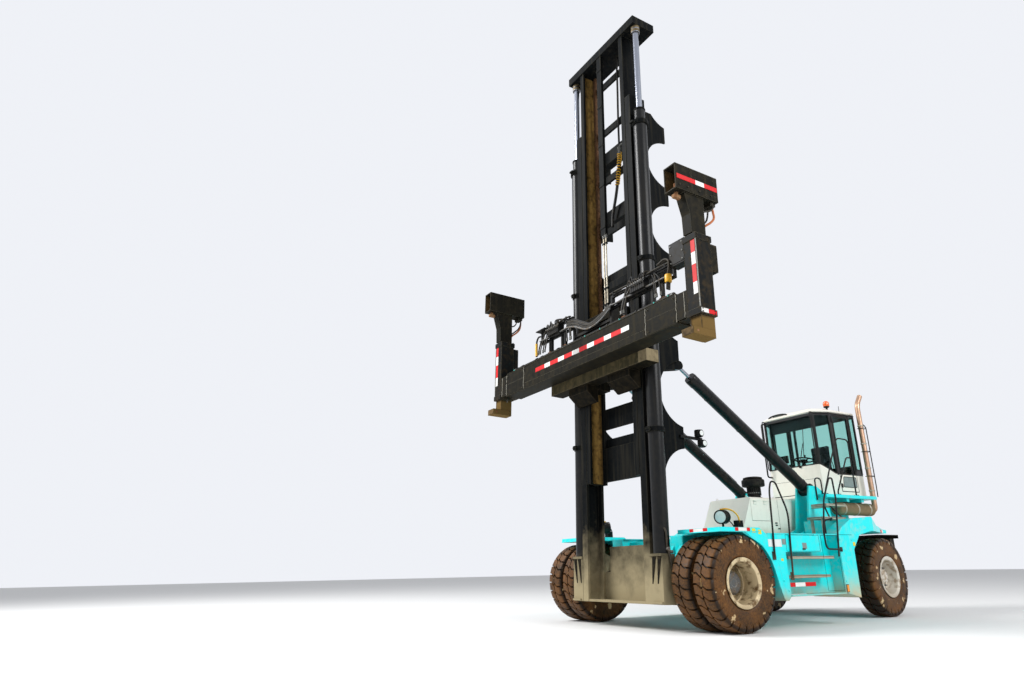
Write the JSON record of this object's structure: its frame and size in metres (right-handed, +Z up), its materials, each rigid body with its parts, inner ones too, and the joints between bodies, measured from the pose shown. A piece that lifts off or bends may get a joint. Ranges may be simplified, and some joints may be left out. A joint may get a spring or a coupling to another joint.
{
  "type": "empty container handler",
  "caption": "Mobile mast truck for empty containers: leaning two-stage mast, side-gripping telescopic spreader with twistlock heads, raised cab, twin drive wheels and steered rear wheels.",
  "frame": {"origin": "on the ground, under the middle of the whole", "axes": "+Z up; the machine faces -Y; +X is its left side"},
  "size_m": [6.05, 6.9952, 11.5981],
  "materials": {
    "body_paint": "gloss",
    "white_paint": "gloss",
    "mast_paint": "satin",
    "axle_paint": "satin",
    "rim_paint": "satin",
    "tyre_rubber": "matte",
    "cab_glass": "polished",
    "rod_chrome": "polished",
    "steel": "worn",
    "exhaust_steel": "satin",
    "black_trim": "matte",
    "seat_cover": "matte",
    "beacon_amber": "gloss",
    "lock_steel": "rough",
    "engine_iron": "rough"
  },
  "bodies": {
    "chassis": {"chassis_frame": "body_paint", "drive_axle": "axle_paint", "steer_axle": "axle_paint", "front_fenders": "body_paint", "side_tanks": "body_paint", "rear_fenders": "body_paint", "counterweight": "axle_paint", "engine_block": "engine_iron", "engine_hood": "white_paint", "air_precleaner": "black_trim", "cab_shell": "white_paint", "cab_windows": "cab_glass", "operator_seat": "seat_cover", "steering_console": "black_trim", "side_platforms": "body_paint", "access_steps": "steel", "handrails": "axle_paint", "exhaust": "exhaust_steel", "work_lamps": "black_trim", "beacon": "beacon_amber"},
    "outer_mast": {"outer_mast": "mast_paint", "lift_cylinders": "mast_paint", "mast_lamps": "black_trim"},
    "inner_mast": {"inner_mast": "mast_paint", "lift_rods": "rod_chrome", "lift_chains": "steel", "mast_pipes": "steel"},
    "carriage": {"carriage": "mast_paint"},
    "spreader": {"spreader_beam": "mast_paint", "spreader_hydraulics": "black_trim"},
    "drive_wheel_left": {"drive_tyres_left": "tyre_rubber", "drive_rims_left": "rim_paint"},
    "steer_knuckle_left": {"steer_knuckle_left": "axle_paint"},
    "steer_wheel_left": {"steer_tyre_left": "tyre_rubber", "steer_rim_left": "rim_paint"},
    "arm_left": {"spreader_arm_left": "mast_paint"},
    "post_left": {"lift_post_left": "mast_paint"},
    "lock_left": {"twistlock_left": "lock_steel"},
    "tilt_barrel_left": {"tilt_barrel_left": "mast_paint"},
    "tilt_rod_left": {"tilt_rod_left": "rod_chrome"},
    "door_left": {"cab_door_left": "axle_paint", "door_glass_left": "cab_glass"},
    "hatch_left": {"hood_hatch_left": "white_paint"},
    "drive_wheel_right": {"drive_tyres_right": "tyre_rubber", "drive_rims_right": "rim_paint"},
    "steer_knuckle_right": {"steer_knuckle_right": "axle_paint"},
    "steer_wheel_right": {"steer_tyre_right": "tyre_rubber", "steer_rim_right": "rim_paint"},
    "arm_right": {"spreader_arm_right": "mast_paint"},
    "post_right": {"lift_post_right": "mast_paint"},
    "lock_right": {"twistlock_right": "lock_steel"},
    "tilt_barrel_right": {"tilt_barrel_right": "mast_paint"},
    "tilt_rod_right": {"tilt_rod_right": "rod_chrome"},
    "door_right": {"cab_door_right": "axle_paint", "door_glass_right": "cab_glass"},
    "hatch_right": {"hood_hatch_right": "white_paint"}
  },
  "joints": [
    {"name": "drive_wheel_left_spin", "type": "hinge", "parent": "chassis", "child": "drive_wheel_left", "pos_m": [1.6635, -1.98239, 0.685], "axis": [1, 0, 0], "continuous": true},
    {"name": "steer_left", "type": "hinge", "parent": "chassis", "child": "steer_knuckle_left", "pos_m": [0.98, 2.41761, 0.685], "axis": [0, 0, 1], "range_deg": [-52, 38]},
    {"name": "steer_wheel_left_spin", "type": "hinge", "parent": "steer_knuckle_left", "child": "steer_wheel_left", "pos_m": [1.26288, 2.45234, 0.685], "axis": [0.9925, 0.1219, 0], "continuous": true},
    {"name": "drive_wheel_right_spin", "type": "hinge", "parent": "chassis", "child": "drive_wheel_right", "pos_m": [-1.6635, -1.98239, 0.685], "axis": [1, 0, 0], "continuous": true},
    {"name": "steer_right", "type": "hinge", "parent": "chassis", "child": "steer_knuckle_right", "pos_m": [-0.98, 2.41761, 0.685], "axis": [0, 0, 1], "range_deg": [-52, 38]},
    {"name": "steer_wheel_right_spin", "type": "hinge", "parent": "steer_knuckle_right", "child": "steer_wheel_right", "pos_m": [-1.26288, 2.38288, 0.685], "axis": [0.9925, 0.1219, 0], "continuous": true},
    {"name": "mast_tilt", "type": "hinge", "parent": "chassis", "child": "outer_mast", "pos_m": [0, -2.12239, 1], "axis": [1, 0, 0], "range_deg": [-2.6, 5.4]},
    {"name": "inner_lift", "type": "slide", "parent": "outer_mast", "child": "inner_mast", "axis": [0, 0.0419, 0.9991], "range_m": [-1.58, 6]},
    {"name": "carriage_lift", "type": "slide", "parent": "inner_mast", "child": "carriage", "axis": [0, 0.0419, 0.9991], "range_m": [-1.58, 6]},
    {"name": "side_shift", "type": "slide", "parent": "carriage", "child": "spreader", "axis": [1, 0, 0], "range_m": [-0.3, 0.3]},
    {"name": "tilt_barrel_left_pivot", "type": "hinge", "parent": "chassis", "child": "tilt_barrel_left", "pos_m": [0.75, 1.44761, 2.28], "axis": [1, 0, 0], "range_deg": [-1.5, 2.6]},
    {"name": "tilt_rod_left_slide", "type": "slide", "parent": "tilt_barrel_left", "child": "tilt_rod_left", "axis": [0, -0.8272, 0.5619], "range_m": [-0.16, 0.32]},
    {"name": "arm_left_slide", "type": "slide", "parent": "spreader", "child": "arm_left", "axis": [1, 0, 0], "range_m": [0, 3.05]},
    {"name": "post_left_slide", "type": "slide", "parent": "arm_left", "child": "post_left", "axis": [0, 0.0419, 0.9991], "range_m": [0, 0.3]},
    {"name": "lock_left_turn", "type": "hinge", "parent": "post_left", "child": "lock_left", "pos_m": [2.8865, -3.38771, 6.27261], "axis": [0, 0.0419, 0.9991], "range_deg": [0, 90]},
    {"name": "door_left_swing", "type": "hinge", "parent": "chassis", "child": "door_left", "pos_m": [0.763, 2.55761, 2.22], "axis": [0, 0, -1], "range_deg": [0, 70]},
    {"name": "hatch_left_lift", "type": "hinge", "parent": "chassis", "child": "hatch_left", "pos_m": [0.513, 0.14761, 2.062], "axis": [0, -1, 0], "range_deg": [0, 75]},
    {"name": "tilt_barrel_right_pivot", "type": "hinge", "parent": "chassis", "child": "tilt_barrel_right", "pos_m": [-0.75, 1.44761, 2.28], "axis": [1, 0, 0], "range_deg": [-1.5, 2.6]},
    {"name": "tilt_rod_right_slide", "type": "slide", "parent": "tilt_barrel_right", "child": "tilt_rod_right", "axis": [0, -0.8272, 0.5619], "range_m": [-0.16, 0.32]},
    {"name": "arm_right_slide", "type": "slide", "parent": "spreader", "child": "arm_right", "axis": [-1, 0, 0], "range_m": [0, 3.05]},
    {"name": "post_right_slide", "type": "slide", "parent": "arm_right", "child": "post_right", "axis": [0, 0.0419, 0.9991], "range_m": [0, 0.3]},
    {"name": "lock_right_turn", "type": "hinge", "parent": "post_right", "child": "lock_right", "pos_m": [-2.8865, -3.38771, 6.27261], "axis": [0, 0.0419, 0.9991], "range_deg": [0, 90]},
    {"name": "door_right_swing", "type": "hinge", "parent": "chassis", "child": "door_right", "pos_m": [-0.763, 2.55761, 2.22], "axis": [0, 0, 1], "range_deg": [0, 70]},
    {"name": "hatch_right_lift", "type": "hinge", "parent": "chassis", "child": "hatch_right", "pos_m": [-0.513, 0.14761, 2.062], "axis": [0, 1, 0], "range_deg": [0, 75]}
  ],
  "couplings": [
    {"joint": "carriage_lift", "follows": "inner_lift", "ratio": 1},
    {"joint": "steer_right", "follows": "steer_left", "ratio": 1},
    {"joint": "tilt_barrel_left_pivot", "follows": "mast_tilt", "ratio": 0.39394},
    {"joint": "tilt_rod_left_slide", "follows": "mast_tilt", "m_per_rad": 3.0647},
    {"joint": "tilt_barrel_right_pivot", "follows": "mast_tilt", "ratio": 0.39394},
    {"joint": "tilt_rod_right_slide", "follows": "mast_tilt", "m_per_rad": 3.0647},
    {"joint": "arm_right_slide", "follows": "arm_left_slide", "ratio": 1},
    {"joint": "post_right_slide", "follows": "post_left_slide", "ratio": 1},
    {"joint": "lock_right_turn", "follows": "lock_left_turn", "ratio": 1}
  ]
}
